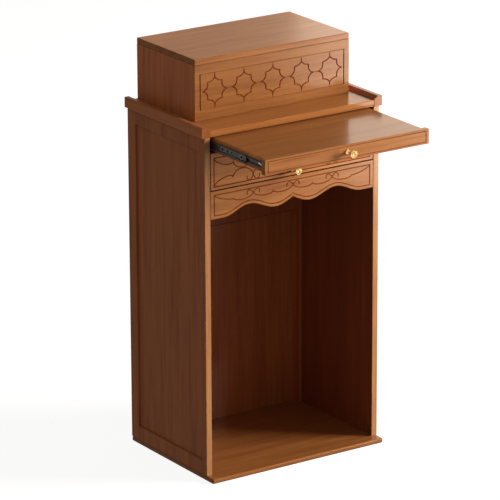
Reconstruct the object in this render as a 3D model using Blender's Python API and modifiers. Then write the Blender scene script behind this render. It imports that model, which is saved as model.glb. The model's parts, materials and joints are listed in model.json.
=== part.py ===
"""Household altar cabinet: an open floor cabinet with a drawer and a pull-out offering tray,
under a top board with side curbs that carries a raised, closed box."""

from math import cos, pi, sin

import bmesh
import bpy
from mathutils import Matrix, Vector

# Clearances: between boards that are fixed to each other, and round parts that slide
fit = 0.0003
slide_play = 0.0005
bay_gap = 0.0025

# Carcass
body_width = 0.600
body_depth = 0.403
body_height = 1.009
base_thickness = 0.015
base_front_lip = 0.032
base_rounding = 0.004
side_thickness = 0.018
front_stile = 0.024
back_stile = 0.040
bottom_rail = 0.042
top_rail = 0.043
panel_recess = 0.006
panel_lap = 0.010
back_thickness = 0.012
back_inset = 0.011
back_seam_height = 0.605
batten_width = 0.010
batten_depth = 0.020
dust_board_thickness = 0.012
dust_board_drop = 0.010
edge_easing = 0.001

# Top board with its raised curbs
top_thickness = 0.020
top_front_overhang = 0.002
top_nose = 0.0045
top_step = 0.002
curb_overhang = 0.0095
curb_width = 0.027
curb_rise = 0.011
curb_flat = 0.012
curb_rounding = 0.003
curb_foot = 0.004

# Raised box
box_side_inset = 0.035
box_setback = 0.101
box_height = 0.180
box_board = 0.018

# Front of the cabinet, from the top board down
tray_gap = 0.001
fascia_height = 0.044
fascia_thickness = 0.018
drawer_face_height = 0.1085
drawer_face_thickness = 0.018
apron_height = 0.0835
apron_thickness = 0.018

# Tray and drawer boxes
slide_space = 0.015
tray_depth = 0.350
tray_lip = 0.0015
tray_board_thickness = 0.018
tray_rail_thickness = 0.014
tray_rail_height = 0.022
tray_extension = 0.270
drawer_side_thickness = 0.012
drawer_side_height = 0.080
drawer_box_lift = 0.006
drawer_bottom_thickness = 0.006
drawer_depth = 0.350

# Telescopic slides
slide_length = 0.350
slide_start = 0.002
slide_sheet = 0.0012
outer_member_height = 0.035
middle_member_height = 0.024
inner_member_height = 0.018
outer_member_depth = 0.004
middle_member_depth = 0.0045
tray_slide_drop = 0.0215
drawer_slide_lift = 0.040
tray_middle_share = 0.704
slide_hole_radius = 0.0025
slide_latch_hole_radius = 0.0035
slide_hole_places = (0.072, 0.094, 0.117)
slide_latch_place = 0.023

# Carving
groove_radius = 0.002
groove_lift = 0.0003
box_frame_side = 0.018
box_frame_top = 0.028
box_frame_bottom = 0.030
star_count = 5
star_half_width = 0.042
star_half_height = 0.038
star_corner_x = 0.025
star_corner_z = 0.026
star_arc_bow = 0.26
face_frame_side = 0.0135
face_frame_bottom = 0.0095
face_frame_top = 0.0145
fascia_frame_edge = 0.006
apron_frame_top = 0.0125
apron_edge_line = 0.0105
scroll_corner_run = 0.0645
scroll_curl_offset = 0.013
scroll_curl_radius = 0.0085
apron_scroll_drop = 0.0245
apron_scroll_depth = 0.012
apron_cusp_drop = 0.006
drawer_scroll_rise = 0.014
drawer_scroll_depth = 0.026
drawer_cusp_rise = 0.004
drawer_curl_drop = 0.004

# Scalloped edge of the apron: heights above its ends, and places as shares of its half width
scallop_crown = 0.026
scallop_low = 0.002
scallop_cusp = 0.022
scallop_flat_share = 0.844
scallop_crown_share = 0.528
scallop_low_share = 0.209

# Brass knobs, and the caps over the apron's screws
knob_reach = 0.030
knob_radius = 0.011
knob_face_thickness = 0.0045
knob_edge = 0.0012
knob_neck_radius = 0.0042
knob_neck_height = 0.0125
knob_foot_radius = 0.009
knob_foot_thickness = 0.0018
knob_dimple_radius = 0.0045
knob_dimple_depth = 0.0012
drawer_knob_height = 0.018
cap_radius = 0.0025
cap_thickness = 0.0008
cap_setback = 0.010
cap_heights = (0.0175, 0.0635)

# Levels and faces that the sizes above give
front = -body_depth / 2
back = body_depth / 2
half_width = body_width / 2
inside_half = half_width - side_thickness
base_top = base_thickness
body_top = base_top + body_height
top_surface = body_top + top_thickness
back_face = back - back_inset - back_thickness
fascia_top = body_top - tray_gap
fascia_bottom = fascia_top - fascia_height
drawer_face_top = fascia_bottom - bay_gap
drawer_face_bottom = drawer_face_top - drawer_face_height
apron_top = drawer_face_bottom - bay_gap
apron_bottom = apron_top - apron_height
dust_board_top = apron_top - dust_board_drop
box_half = half_width - box_side_inset
box_front_face = front + box_setback
box_top_surface = top_surface + box_height
carried_half = inside_half - slide_space
frame_half = inside_half - face_frame_side
tray_middle_out = tray_extension * tray_middle_share


def colour(red, green, blue):
    """An sRGB colour, given in whole steps of 255, as the linear values a shader takes."""
    def linear(step):
        value = step / 255
        return value / 12.92 if value <= 0.04045 else ((value + 0.055) / 1.055) ** 2.4
    return (linear(red), linear(green), linear(blue), 1.0)


def finish(name, base, roughness, metallic=0.0):
    material = bpy.data.materials.new(name)
    material.use_nodes = True
    shader = material.node_tree.nodes["Principled BSDF"]
    shader.inputs["Base Color"].default_value = base
    shader.inputs["Roughness"].default_value = roughness
    shader.inputs["Metallic"].default_value = metallic
    return material


def clear_scene():
    for thing in list(bpy.data.objects):
        bpy.data.objects.remove(thing)


def new_collection(name):
    group = bpy.data.collections.new(name)
    bpy.context.scene.collection.children.link(group)
    return group


def place(name, mesh, group, location, material=None, carrier=None):
    thing = bpy.data.objects.new(name, mesh)
    group.objects.link(thing)
    thing.location = location
    if material:
        thing.data.materials.append(material)
    if carrier:
        thing.parent = carrier
    return thing


def ease(thing, width=edge_easing, segments=1):
    bevel = thing.modifiers.new("eased edges", "BEVEL")
    bevel.width = width
    bevel.segments = segments
    bevel.limit_method = "ANGLE"
    return thing


def block_mesh(name, low, high):
    """A box mesh between two corners, centred on its own origin, and that centre."""
    low, high = Vector(low), Vector(high)
    size = high - low
    mesh = bpy.data.meshes.new(name)
    shape = bmesh.new()
    bmesh.ops.create_cube(shape, size=1.0, matrix=Matrix.Diagonal((*size, 1.0)))
    shape.to_mesh(mesh)
    shape.free()
    return mesh, (low + high) / 2


def board(name, low, high, material, carrier=None, easing=edge_easing, segments=1):
    mesh, centre = block_mesh(name, low, high)
    return ease(place(name, mesh, parts, centre, material, carrier), easing, segments)


def mesh_of_curve(curve_object, group):
    """The curve's solid as a closed mesh object in its place."""
    bpy.context.view_layer.update()
    evaluated = curve_object.evaluated_get(bpy.context.evaluated_depsgraph_get())
    mesh = bpy.data.meshes.new_from_object(evaluated)
    shape = bmesh.new()
    shape.from_mesh(mesh)
    bmesh.ops.remove_doubles(shape, verts=shape.verts, dist=1e-6)
    shape.to_mesh(mesh)
    shape.free()
    name = curve_object.name
    matrix = curve_object.matrix_world.copy()
    curve = curve_object.data
    bpy.data.objects.remove(curve_object)
    bpy.data.curves.remove(curve)
    thing = bpy.data.objects.new(name, mesh)
    group.objects.link(thing)
    thing.matrix_world = matrix
    return thing


def flat_curve(name, points, closed):
    curve = bpy.data.curves.new(name, "CURVE")
    curve.dimensions = "2D"
    line = curve.splines.new("POLY")
    line.points.add(len(points) - 1)
    for point, (across, along) in zip(line.points, points):
        point.co = (across, along, 0, 1)
    line.use_cyclic_u = closed
    thing = bpy.data.objects.new(name, curve)
    parts.objects.link(thing)
    return thing


def extruded(name, outline, length, location, material, carrier=None, upright=True):
    """A flat outline given a thickness: in X and Z and drawn out along Y, or lying in X and Y."""
    thing = flat_curve(name, outline, True)
    thing.data.fill_mode = "BOTH"
    thing.data.extrude = length / 2
    thing.location = location
    if upright:
        thing.rotation_euler = (pi / 2, 0, 0)
    solid = mesh_of_curve(thing, parts)
    solid.data.materials.clear()
    solid.data.materials.append(material)
    if carrier:
        solid.parent = carrier
    return solid


def cut(thing, cutter):
    boolean = thing.modifiers.new("cut", "BOOLEAN")
    boolean.operation = "DIFFERENCE"
    boolean.object = cutter


def as_cutter(thing):
    thing.hide_render = True
    thing.display_type = "WIRE"
    return thing


def block_cutter(name, low, high):
    mesh, centre = block_mesh(name, low, high)
    return as_cutter(place(name, mesh, cutters, centre))


def hole_cutter(name, centre, radius, length):
    """A round hole along X."""
    mesh = bpy.data.meshes.new(name)
    shape = bmesh.new()
    bmesh.ops.create_cone(
        shape, cap_ends=True, segments=10, radius1=radius, radius2=radius, depth=length,
        matrix=Matrix.Rotation(pi / 2, 4, "Y"))
    shape.to_mesh(mesh)
    shape.free()
    return as_cutter(place(name, mesh, cutters, centre))


def carve(panel, lines, face):
    """Cuts a V groove along each line of X and Z points into the panel's front face."""
    group = bpy.data.collections.new(panel.name + " grooves")
    cutters.children.link(group)
    for number, points in enumerate(lines):
        thing = flat_curve(f"{panel.name} groove {number}", points, False)
        thing.data.bevel_depth = groove_radius
        thing.data.bevel_resolution = 0
        thing.data.use_fill_caps = True
        thing.location = (0, face - groove_lift, 0)
        thing.rotation_euler = (pi / 2, 0, 0)
        as_cutter(mesh_of_curve(thing, group))
    boolean = panel.modifiers.new("carving", "BOOLEAN")
    boolean.operation = "DIFFERENCE"
    boolean.operand_type = "COLLECTION"
    boolean.collection = group
    return panel


def frame_lines(left, right, bottom, top):
    """Four grooves that cross at the corners of a rectangle."""
    over = groove_radius / 2
    return [
        [(left - over, bottom), (right + over, bottom)],
        [(left - over, top), (right + over, top)],
        [(left, bottom - over), (left, top + over)],
        [(right, bottom - over), (right, top + over)],
    ]


def bow(start, end, depth, steps=8):
    """Half of a flattened ellipse hung between two points, depth below the line that joins them."""
    points = []
    for step in range(steps + 1):
        angle = pi * step / steps
        share = (1 - cos(angle)) / 2
        points.append((
            start[0] + (end[0] - start[0]) * share,
            start[1] + (end[1] - start[1]) * share - depth * sin(angle)))
    return points


def arc(start, end, bulge, steps=4):
    """An arc between two points that bulges by a share of its half chord to the left of its way."""
    start, end = Vector(start), Vector(end)
    middle, half = (start + end) / 2, (end - start) / 2
    side = Vector((-half.y, half.x))
    centre = middle - side * (1 - bulge ** 2) / (2 * bulge)
    radius_arm = start - centre
    whole = radius_arm.angle_signed(end - centre)
    points = []
    for step in range(steps + 1):
        turn = Matrix.Rotation(-whole * step / steps, 2)
        points.append(tuple(centre + turn @ radius_arm))
    return points


def star_lines(centre_x, centre_z):
    """Eight arcs that bow inwards between the four tips and the four corners of a star."""
    tip_right, tip_top = (star_half_width, 0), (0, star_half_height)
    corner = (star_corner_x, star_corner_z)
    lines = []
    for flip_x in (1, -1):
        for flip_z in (1, -1):
            for ends in ((tip_top, corner), (corner, tip_right)):
                points = arc(*ends, -star_arc_bow)
                lines.append([(centre_x + flip_x * x, centre_z + flip_z * z) for x, z in points])
    return lines


def box_front_lines():
    left = -box_half + box_frame_side
    bottom, top = top_surface + box_frame_bottom, box_top_surface - box_board - box_frame_top
    centre_z = (bottom + top) / 2
    pitch = -2 * left / star_count
    lines = frame_lines(left, -left, bottom, top)
    for number in range(star_count):
        centre_x = left + pitch * (number + 0.5)
        lines += star_lines(centre_x, centre_z)
        lines.append([(centre_x, centre_z + star_half_height - groove_radius), (centre_x, top)])
        lines.append([(centre_x, centre_z - star_half_height + groove_radius), (centre_x, bottom)])
        if number:
            join = centre_x - pitch / 2
            reach = pitch / 2 - star_half_width + groove_radius
            lines.append([(join - reach, centre_z), (join + reach, centre_z)])
    return lines


def scroll_lines(frame_half, corner_z, cross_z, up, depth, cusp, curl_shift):
    """Bows that cross at three places and end there in curls; up is 1 where they hang down."""
    pitch = (frame_half - scroll_corner_run) / 1.5
    lines = []
    for number in (-1, 0, 1):
        for way in (1, -1):
            cross_x = number * pitch
            points = bow((cross_x - way * pitch / 2, cross_z - up * cusp), (cross_x, cross_z), up * depth)
            for step in range(9):
                angle = pi * (0.85 - 1.05 * step / 8)
                points.append((
                    cross_x + way * (scroll_curl_offset + scroll_curl_radius * cos(angle)),
                    cross_z + up * (curl_shift + scroll_curl_radius * sin(angle))))
            lines.append(points)
    for way in (1, -1):
        end = (way * 1.5 * pitch, cross_z - up * cusp)
        lines.append(bow((way * frame_half, corner_z), end, up * depth * 0.55))
    return lines


def scallop(half, bottom, lift=0.0, end=None):
    """The apron's lower edge from left to right: flat, crown, low, and a pointed cusp in the middle."""
    flat, crown, low = (half * share for share in (scallop_flat_share, scallop_crown_share, scallop_low_share))
    outer_end = half if end is None else end
    left = [(-outer_end, 0.0)]
    for step in range(9):
        share = step / 8
        left.append((-flat + (flat - crown) * share, scallop_crown * (1 - cos(pi * share)) / 2))
    for step in range(1, 9):
        share = step / 8
        fall = (scallop_crown - scallop_low) * (1 - cos(pi * share)) / 2
        left.append((-crown + (crown - low) * share, scallop_crown - fall))
    for step in range(1, 7):
        share = step / 6
        rise = (scallop_cusp - scallop_low) * (1 - cos(pi * share / 2))
        left.append((-low + low * share, scallop_low + rise))
    right = [(-x, z) for x, z in reversed(left[:-1])]
    return [(x, bottom + lift + z) for x, z in left + right]


def side(name, way):
    """A frame of two stiles and two rails with a thin panel let into a rebate on its inner side."""
    outer, inner = way * half_width, way * inside_half
    frame = board(
        f"side_frame_{name}", (min(outer, inner), front, base_top + fit), (max(outer, inner), back, body_top),
        wood, easing=0.0015)
    window_low = (front + front_stile, base_top + bottom_rail)
    window_high = (back - back_stile, body_top - top_rail)
    past = 0.01
    cut(frame, block_cutter(
        f"window {name}", (min(outer, inner) - past, *window_low), (max(outer, inner) + past, *window_high)))
    seat = outer - way * panel_recess
    rebate_x = sorted((seat, inner - way * past))
    cut(frame, block_cutter(
        f"rebate {name}",
        (rebate_x[0], window_low[0] - panel_lap, window_low[1] - panel_lap),
        (rebate_x[1], window_high[0] + panel_lap, window_high[1] + panel_lap)))
    panel_x = sorted((seat - way * fit, inner))
    board(
        f"side_panel_{name}",
        (panel_x[0], window_low[0] - panel_lap + fit, window_low[1] - panel_lap + fit),
        (panel_x[1], window_high[0] + panel_lap - fit, window_high[1] + panel_lap - fit), wood, easing=0.0006)


def carcass():
    board(
        "base_board", (-half_width, front - base_front_lip, 0), (half_width, back, base_top),
        wood, easing=base_rounding, segments=2)
    seam = base_top + back_seam_height
    within = inside_half - fit
    back_boards = (("back_panel_lower", base_top + fit, seam), ("back_panel_upper", seam + fit, body_top - fit))
    for name, bottom, top in back_boards:
        board(
            name, (-within, back_face, bottom), (within, back_face + back_thickness, top),
            wood, easing=0.0015)
    board(
        "dust_board", (-within, front + apron_thickness + fit, dust_board_top - dust_board_thickness),
        (within, back_face - fit, dust_board_top), wood)
    for name, way in (("left", -1), ("right", 1)):
        side(name, way)
        batten_x = sorted((way * within, way * (within - batten_width)))
        board(
            f"back_batten_{name}", (batten_x[0], back_face - fit - batten_depth, base_top + fit),
            (batten_x[1], back_face - fit, dust_board_top - dust_board_thickness - fit), wood)


def curb_outline(way):
    """Across the curb, from its outer foot: up the outer face, over a flat top and down a slope."""
    outside = curb_overhang
    inside = curb_width - outside
    bottom, top = body_top + fit, top_surface + curb_rise
    slope_start = curb_flat - outside
    points = [
        (-outside, bottom), (-outside, top - curb_rounding), (-outside + curb_rounding * 0.3, top - curb_rounding * 0.3),
        (-outside + curb_rounding, top), (slope_start, top),
        (slope_start + (inside - slope_start) * 0.5, top - (curb_rise - curb_foot) * 0.35),
        (inside, top_surface + curb_foot), (inside, bottom)]
    return [(way * (half_width - x), z) for x, z in points]


def top():
    inner_edge = half_width - (curb_width - curb_overhang) - fit
    front_edge = front - top_front_overhang
    mid_y = (front_edge + back) / 2
    length = back - front_edge
    profile = [
        (front_edge, top_surface - 0.0015), (front_edge + 0.0015, top_surface), (back, top_surface),
        (back, body_top + fit), (front_edge + top_step, body_top + fit),
        (front_edge + top_step, body_top + top_nose), (front_edge, body_top + top_nose + 0.0015)]
    nose = extruded("top_board", profile, 2 * inner_edge, (0, 0, 0), wood)
    nose.rotation_euler = (pi / 2, 0, pi / 2)
    for name, way in (("left", -1), ("right", 1)):
        extruded(f"top_curb_{name}", curb_outline(way), length, (0, mid_y, 0), wood)


def raised_box():
    """Front and sides mitred at the corners, a back between the sides, and a top over them all."""
    low, high = top_surface + fit, box_top_surface - box_board - fit
    middle = (low + high) / 2
    depth_inside = box_front_face + box_board
    mitre = fit * 0.7
    front_outline = [
        (-box_half + mitre, box_front_face), (box_half - mitre, box_front_face),
        (box_half - box_board - mitre, depth_inside), (-box_half + box_board + mitre, depth_inside)]
    panel = extruded("box_front", front_outline, high - low, (0, 0, middle), wood, upright=False)
    carve(panel, box_front_lines(), box_front_face)
    for name, way in (("left", -1), ("right", 1)):
        outline = [
            (way * box_half, box_front_face + mitre), (way * box_half, back),
            (way * (box_half - box_board), back), (way * (box_half - box_board), depth_inside + mitre)]
        extruded(f"box_side_{name}", outline, high - low, (0, 0, middle), wood, upright=False)
    within = box_half - box_board - fit
    board("box_back", (-within, back - box_board, low), (within, back, high), wood)
    board(
        "box_top", (-box_half, box_front_face, box_top_surface - box_board), (box_half, back, box_top_surface),
        wood, easing=0.0015, segments=2)


def apron():
    half = inside_half - fit
    edge = scallop(half, apron_bottom)
    outline = [*edge, (half, apron_top), (-half, apron_top)]
    piece = extruded("apron", outline, apron_thickness, (0, front + apron_thickness / 2, 0), wood)
    frame_top = apron_top - apron_frame_top
    lines = [
        scallop(half, apron_bottom, apron_edge_line, frame_half),
        [(-frame_half - groove_radius / 2, frame_top), (frame_half + groove_radius / 2, frame_top)],
    ]
    for way in (1, -1):
        lines.append([
            (way * frame_half, apron_bottom + apron_edge_line - groove_radius / 2),
            (way * frame_half, frame_top + groove_radius / 2)])
    lines += scroll_lines(
        frame_half, frame_top, apron_top - apron_scroll_drop, 1, apron_scroll_depth, apron_cusp_drop, 0.0)
    carve(piece, lines, front)


def knob(name, face, height, carrier):
    """A turned brass knob that stands out of the face, along -Y."""
    tip = knob_reach
    disc_back = tip - knob_face_thickness
    profile = [
        (0, tip - knob_dimple_depth), (knob_dimple_radius, tip - knob_dimple_depth),
        (knob_dimple_radius + knob_dimple_depth, tip), (knob_radius - knob_edge, tip),
        (knob_radius, tip - knob_edge), (knob_radius, disc_back + knob_edge), (knob_radius - knob_edge, disc_back)]
    for start, end, from_z, to_z in (
            (knob_radius - knob_edge, knob_neck_radius, disc_back, knob_neck_height),
            (knob_neck_radius, knob_foot_radius, knob_neck_height, knob_foot_thickness)):
        for step in range(1, 5):
            share = step / 4
            bend = sin(pi / 2 * share) if end < start else 1 - cos(pi / 2 * share)
            profile.append((start + (end - start) * bend, from_z + (to_z - from_z) * share))
    profile += [(knob_foot_radius, 0), (0, 0)]
    mesh = bpy.data.meshes.new(name)
    shape = bmesh.new()
    corners = [shape.verts.new((x, 0, z)) for x, z in profile]
    for first, second in zip(corners, corners[1:]):
        shape.edges.new((first, second))
    shape.to_mesh(mesh)
    shape.free()
    thing = place(name, mesh, parts, (0, face - fit, height), brass, carrier)
    thing.rotation_euler = (pi / 2, 0, 0)
    turn = thing.modifiers.new("turned", "SCREW")
    turn.steps = 20
    turn.render_steps = 20
    turn.use_merge_vertices = True
    turn.merge_threshold = 0.00005


def channel_outline(x_web, x_lips, height):
    """A shallow C: a web and two lips of the same sheet."""
    sheet = slide_sheet if x_lips > x_web else -slide_sheet
    half = height / 2
    lip = slide_sheet
    return [
        (x_web, -half), (x_lips, -half), (x_lips, -half + lip), (x_web + sheet, -half + lip),
        (x_web + sheet, half - lip), (x_lips, half - lip), (x_lips, half), (x_web, half)]


def slide_set(kind, height, middle_out, inner_start, middle_carrier, inner_carrier):
    """Three members on each side: one on the cabinet, one between, and one on what is carried."""
    start = front + drawer_face_thickness + slide_start
    outer_depth = outer_member_depth
    middle_start = outer_depth + slide_play
    inner_member = middle_start + middle_member_depth + slide_play
    members = (
        ("outer", fit, outer_depth, outer_member_height, start, None),
        ("middle", middle_start, middle_start + middle_member_depth, middle_member_height,
         start - middle_out, middle_carrier),
        ("inner", inner_member, slide_space - fit, inner_member_height, inner_start, inner_carrier),
    )
    for name, way in (("left", -1), ("right", 1)):
        for member, near, far, tall, begins, carrier in members:
            x_near, x_far = way * (inside_half - near), way * (inside_half - far)
            web, lips = (x_near, x_far) if member == "outer" else (x_far, x_near)
            thing = extruded(
                f"{kind}_slide_{member}_{name}", channel_outline(web, lips, tall), slide_length,
                (0, begins + slide_length / 2, height), steel, carrier)
            if member == "middle":
                holes = [(place_y, slide_hole_radius) for place_y in slide_hole_places]
                holes.append((slide_latch_place, slide_latch_hole_radius))
                for number, (place_y, radius) in enumerate(holes):
                    cut(thing, hole_cutter(
                        f"{kind} {name} hole {number}", (web, begins + place_y, height),
                        radius, 4 * slide_sheet))


def tray():
    carrier = bpy.data.objects.new("tray travel", None)
    middle_carrier = bpy.data.objects.new("tray middle travel", None)
    for empty in (carrier, middle_carrier):
        parts.objects.link(empty)
    fascia_face = front - tray_extension
    fascia_back = fascia_face + fascia_thickness
    board_top = fascia_top - tray_lip
    board_bottom = board_top - tray_board_thickness
    ends = fascia_back + fit + tray_depth
    board("tray_board", (-carried_half, fascia_back + fit, board_bottom), (carried_half, ends, board_top),
          wood, carrier)
    for name, way in (("left", -1), ("right", 1)):
        rail_x = sorted((way * carried_half, way * (carried_half - tray_rail_thickness)))
        board(
            f"tray_rail_{name}", (rail_x[0], fascia_back + fit, board_bottom - fit - tray_rail_height),
            (rail_x[1], ends, board_bottom - fit), wood, carrier)
    half = inside_half - bay_gap
    fascia = board(
        "tray_fascia", (-half, fascia_face, fascia_bottom), (half, fascia_back, fascia_top), wood, carrier,
        easing=0.0015)
    carve(fascia, frame_lines(
        -frame_half, frame_half, fascia_bottom + fascia_frame_edge, fascia_top - fascia_frame_edge), fascia_face)
    knob("tray_knob", fascia_face, (fascia_bottom + fascia_top) / 2, carrier)
    slide_set("tray", fascia_top - tray_slide_drop, tray_middle_out, fascia_back + fit, middle_carrier, carrier)


def drawer():
    carrier = bpy.data.objects.new("drawer travel", None)
    middle_carrier = bpy.data.objects.new("drawer middle travel", None)
    for empty in (carrier, middle_carrier):
        parts.objects.link(empty)
    half = inside_half - bay_gap
    face_back = front + drawer_face_thickness
    face = board(
        "drawer_front", (-half, front, drawer_face_bottom), (half, face_back, drawer_face_top), wood, carrier)
    frame_low, frame_high = drawer_face_bottom + face_frame_bottom, drawer_face_top - face_frame_top
    lines = frame_lines(-frame_half, frame_half, frame_low, frame_high)
    for corner_z, up in ((frame_low, -1), (frame_high, 1)):
        cross_z = corner_z - up * drawer_scroll_rise
        lines += scroll_lines(
            frame_half, corner_z, cross_z, up, drawer_scroll_depth * 0.95, drawer_cusp_rise, drawer_curl_drop)
    carve(face, lines, front)
    bottom_low = drawer_face_bottom + drawer_box_lift
    side_low = bottom_low + drawer_bottom_thickness + fit
    side_high = side_low + drawer_side_height
    box_start = face_back + fit
    box_end = box_start + drawer_depth
    board("drawer_bottom", (-carried_half, box_start, bottom_low),
          (carried_half, box_end, bottom_low + drawer_bottom_thickness), wood, carrier)
    for name, way in (("left", -1), ("right", 1)):
        side_x = sorted((way * carried_half, way * (carried_half - drawer_side_thickness)))
        board(f"drawer_side_{name}", (side_x[0], box_start, side_low), (side_x[1], box_end, side_high),
              wood, carrier)
    within = carried_half - drawer_side_thickness - fit
    board("drawer_back", (-within, box_end - drawer_side_thickness, side_low), (within, box_end, side_high),
          wood, carrier)
    knob("drawer_knob", front, drawer_face_bottom + drawer_knob_height, carrier)
    slide_set("drawer", drawer_face_bottom + drawer_slide_lift, 0.0, box_start, middle_carrier, carrier)


def screw_caps():
    """Caps over the two screws that hold each end of the apron, on the outer faces of the sides."""
    for name, way in (("left", -1), ("right", 1)):
        for number, above in enumerate(cap_heights):
            mesh = bpy.data.meshes.new("cap")
            shape = bmesh.new()
            bmesh.ops.create_cone(
                shape, cap_ends=True, segments=12, radius1=cap_radius, radius2=cap_radius * 0.8,
                depth=cap_thickness, matrix=Matrix.Rotation(way * pi / 2, 4, "Y"))
            shape.to_mesh(mesh)
            shape.free()
            place(
                f"screw_cap_{name}_{number + 1}", mesh, parts,
                (way * (half_width + fit + cap_thickness / 2), front + cap_setback, apron_bottom + above), zinc)


clear_scene()
parts = new_collection("altar cabinet")
cutters = new_collection("cutters")
wood = finish("lacquered wood", colour(168, 104, 62), 0.30)
steel = finish("black slide steel", colour(38, 40, 42), 0.35, 0.8)
brass = finish("polished brass", colour(214, 170, 84), 0.22, 1.0)
zinc = finish("zinc cap", colour(196, 188, 176), 0.35, 1.0)
carcass()
top()
raised_box()
apron()
tray()
drawer()
screw_caps()
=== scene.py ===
import json
import random
from math import cos, pi, radians, sin

import bmesh
import bpy
from mathutils import Matrix, Vector

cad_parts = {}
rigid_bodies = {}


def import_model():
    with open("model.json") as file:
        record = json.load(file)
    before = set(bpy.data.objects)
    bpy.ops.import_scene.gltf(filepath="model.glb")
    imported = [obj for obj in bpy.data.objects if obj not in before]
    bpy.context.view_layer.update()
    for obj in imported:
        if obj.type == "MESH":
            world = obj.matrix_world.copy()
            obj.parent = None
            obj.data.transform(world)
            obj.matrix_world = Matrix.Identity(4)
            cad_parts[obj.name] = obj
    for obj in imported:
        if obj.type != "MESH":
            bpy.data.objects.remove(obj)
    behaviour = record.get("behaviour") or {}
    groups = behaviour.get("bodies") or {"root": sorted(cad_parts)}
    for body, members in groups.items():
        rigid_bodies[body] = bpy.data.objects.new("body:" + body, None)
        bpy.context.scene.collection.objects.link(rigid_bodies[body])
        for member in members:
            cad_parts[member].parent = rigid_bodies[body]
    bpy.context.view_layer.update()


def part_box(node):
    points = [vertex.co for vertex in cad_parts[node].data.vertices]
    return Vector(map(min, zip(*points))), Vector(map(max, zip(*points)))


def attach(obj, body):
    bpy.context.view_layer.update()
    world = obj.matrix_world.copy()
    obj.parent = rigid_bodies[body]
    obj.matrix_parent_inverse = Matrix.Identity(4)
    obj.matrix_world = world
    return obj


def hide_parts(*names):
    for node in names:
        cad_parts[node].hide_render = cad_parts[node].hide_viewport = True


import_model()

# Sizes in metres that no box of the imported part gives
front_stile = 0.024
back_stile = 0.040
bottom_rail = 0.042
top_rail = 0.043
panel_recess = 0.006
panel_lap = 0.010
frame_half = 0.2685
fit = 0.0003
sides = (("left", -1), ("right", 1))

# Slide fittings: places from the front end of each member, then depths from its web's outer skin
middle_holes = (0.072, 0.094, 0.117)
latch_hole = (0.023,)
inner_screws = (0.030, 0.160, 0.300)
outer_screws = (0.035, 0.165, 0.305)
middle_hole_radius = 0.0040
slide_sheet = 0.0012
# The black discs in the middle members' holes are painted shade, set half a sheet deep
hole_shade_depth = slide_sheet / 2
rim_depth = slide_sheet + 0.00005
head_depth = slide_sheet + 0.0001
ball_depth = 0.0026
latch_depths = (0.0019, 0.0049)


def boxes(node):
    low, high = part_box(node)
    return Vector(low), Vector(high)


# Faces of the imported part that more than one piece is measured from

body_low, body_high = boxes("side_frame_left")
half_width, inside_half = -body_low.x, -body_high.x
front, back, body_top = body_low.y, body_high.y, body_high.z
base_top = boxes("base_board")[1].z
box_low, box_high = boxes("box_side_left")
box_half, box_board = -box_low.x, box_high.x - box_low.x
box_front_face = boxes("box_front")[0].y


# Finishes

def linear(hex_colour):
    """An sRGB hex colour as the linear values that a shader takes."""
    def channel(start):
        value = int(hex_colour[start:start + 2], 16) / 255
        return value / 12.92 if value <= 0.04045 else ((value + 0.055) / 1.055) ** 2.4
    return (channel(0), channel(2), channel(4), 1.0)


def add(tree, kind, inputs=None, **settings):
    """A node with its settings, and its inputs set to values or linked to other nodes' outputs."""
    node = tree.nodes.new(kind)
    for name, value in settings.items():
        setattr(node, name, value)
    for name, value in (inputs or {}).items():
        if isinstance(value, bpy.types.NodeSocket):
            tree.links.new(value, node.inputs[name])
        else:
            node.inputs[name].default_value = value
    return node


def new_finish(name, **sockets):
    """A material and its shader, with the values that are the same all over the surface."""
    material = bpy.data.materials.new(name)
    material.use_nodes = True
    shader = material.node_tree.nodes["Principled BSDF"]
    for socket, value in sockets.items():
        shader.inputs[socket.replace("_", " ")].default_value = value
    return material, material.node_tree, shader


def grain_space(tree, along, across_mm, along_mm):
    """Object coordinates, moved on for each board and stretched along its grain."""
    place = add(tree, "ShaderNodeTexCoord")
    shift = add(tree, "ShaderNodeAttribute", attribute_name="board_shift")
    own = add(tree, "ShaderNodeVectorMath", {0: place.outputs["Object"], 1: shift.outputs["Vector"]},
              operation="ADD")
    scale = [1000 / across_mm] * 3
    scale["XYZ".index(along)] = 1000 / along_mm
    return add(tree, "ShaderNodeMapping", {"Vector": own.outputs["Vector"], "Scale": scale})


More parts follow.
